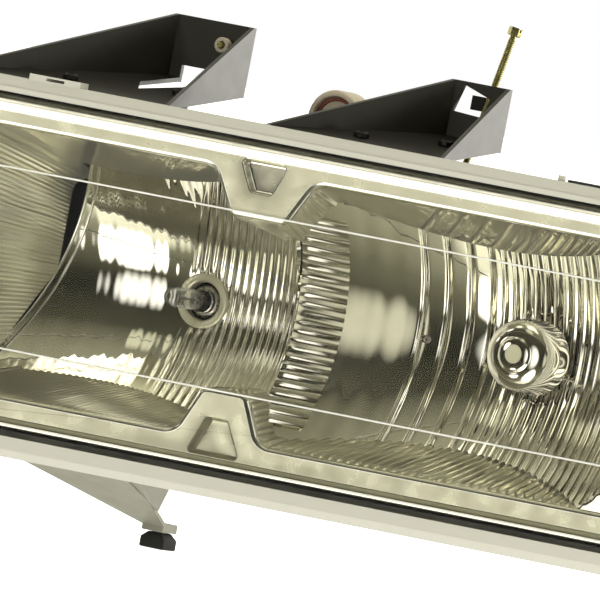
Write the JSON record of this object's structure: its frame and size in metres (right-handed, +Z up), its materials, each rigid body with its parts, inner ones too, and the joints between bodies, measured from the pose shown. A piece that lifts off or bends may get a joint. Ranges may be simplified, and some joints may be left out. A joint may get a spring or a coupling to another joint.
{
  "type": "car headlight assembly",
  "caption": "Swept rectangular twin-bulb car headlamp with a clear lens, notched metallised bezel, fluted reflectors, tray brackets and aiming screws.",
  "frame": {"origin": "centre of the underside of the lower bracket's foot", "axes": "+Z up; -Y is the way the beams shine and +Y runs back into the car; +X is to the right seen from in front of the car, along the lamp's longest side"},
  "size_m": [0.388, 0.214, 0.2802],
  "materials": {
    "clear_lens": "clear moulded polycarbonate, polished",
    "seal": "dark butyl sealing bead",
    "satin_metallised": "satin vacuum-metallised plastic, faint grain",
    "bright_reflector": "bright vacuum-metallised plastic, fluted",
    "bright_chrome": "bright plated steel",
    "housing_black": "black moulded plastic, fine texture",
    "bracket_black": "dark glass-filled plastic, semi-gloss",
    "bracket_grey": "light grey moulded plastic",
    "black_rubber": "matt black rubber",
    "red_rubber": "silicone O-ring",
    "bulb_glass": "clear quartz",
    "tungsten": "drawn wire",
    "terminal_metal": "tinned strip",
    "screw_steel": "plated steel",
    "yellow_zinc": "yellow zinc-plated steel, satin",
    "nylon": "natural nylon, slightly translucent"
  },
  "bodies": {
    "lamp": {"lens": "clear_lens", "lens_seal": "seal", "bezel": "satin_metallised", "reflector_high": "bright_reflector", "reflector_low": "bright_reflector", "reflector_rivet": "terminal_metal", "housing": "housing_black", "vent_cap": "black_rubber", "upper_inner_bracket": "bracket_black", "upper_outer_bracket": "bracket_black", "lower_bracket": "bracket_grey", "lower_foot": "black_rubber", "inner_bracket_screw_1": "screw_steel", "inner_bracket_screw_2": "screw_steel", "outer_bracket_screw_1": "screw_steel", "outer_bracket_screw_2": "screw_steel", "lower_bracket_screw_1": "screw_steel", "lower_bracket_screw_2": "screw_steel", "high_bulb_glass": "bulb_glass", "high_bulb_filament": "tungsten", "high_bulb_base": "housing_black", "high_bulb_oring": "red_rubber", "high_terminal_1": "terminal_metal", "high_terminal_2": "terminal_metal", "low_bulb_glass": "bulb_glass", "low_bulb_filament": "tungsten", "low_bulb_base": "housing_black", "low_bulb_oring": "red_rubber", "low_terminal_1": "terminal_metal", "low_terminal_2": "terminal_metal", "low_bulb_shield": "bright_chrome", "vertical_screw_clip": "nylon", "side_screw_clip": "nylon", "pivot_socket": "nylon"},
    "vertical_screw": {"vertical_aim_screw": "yellow_zinc"},
    "vertical_nut": {"vertical_aim_nut": "bracket_black"},
    "side_screw": {"side_aim_screw": "yellow_zinc"},
    "side_nut": {"side_aim_nut": "bracket_black"},
    "high_ring": {"high_lock_ring": "housing_black"},
    "low_ring": {"low_lock_ring": "housing_black"},
    "pivot_stud": {"pivot_ball_stud": "screw_steel"}
  },
  "joints": [
    {"name": "vertical_screw_turn", "type": "hinge", "parent": "lamp", "child": "vertical_screw", "pos_m": [0.111, 0.0305, 0.215], "axis": [0.0909, 0.1895, 0.9777], "range_deg": [-720, 720]},
    {"name": "vertical_nut_travel", "type": "slide", "parent": "lamp", "child": "vertical_nut", "axis": [0.0909, 0.1895, 0.9777], "range_m": [-0.003, 0.003]},
    {"name": "side_screw_turn", "type": "hinge", "parent": "lamp", "child": "side_screw", "pos_m": [-0.014, 0.001, 0.245], "axis": [0, 1, 0], "range_deg": [-720, 720]},
    {"name": "side_nut_travel", "type": "slide", "parent": "lamp", "child": "side_nut", "axis": [0, 1, 0], "range_m": [-0.003, 0.003]},
    {"name": "high_ring_twist", "type": "hinge", "parent": "lamp", "child": "high_ring", "pos_m": [0.005, 0.007, 0.122], "axis": [0, 1, 0], "range_deg": [0, 45]},
    {"name": "low_ring_twist", "type": "hinge", "parent": "lamp", "child": "low_ring", "pos_m": [0.165, 0.059, 0.126], "axis": [0, 1, 0], "range_deg": [0, 45]},
    {"name": "pivot_stud_swivel", "type": "hinge", "parent": "lamp", "child": "pivot_stud", "pos_m": [0.0554, 0.001, 0.22], "axis": [1, 0, 0], "range_deg": [-8, 8]}
  ],
  "couplings": [
    {"joint": "vertical_screw_turn", "follows": "vertical_nut_travel", "rad_per_m": 4188},
    {"joint": "side_screw_turn", "follows": "side_nut_travel", "rad_per_m": 4188}
  ]
}
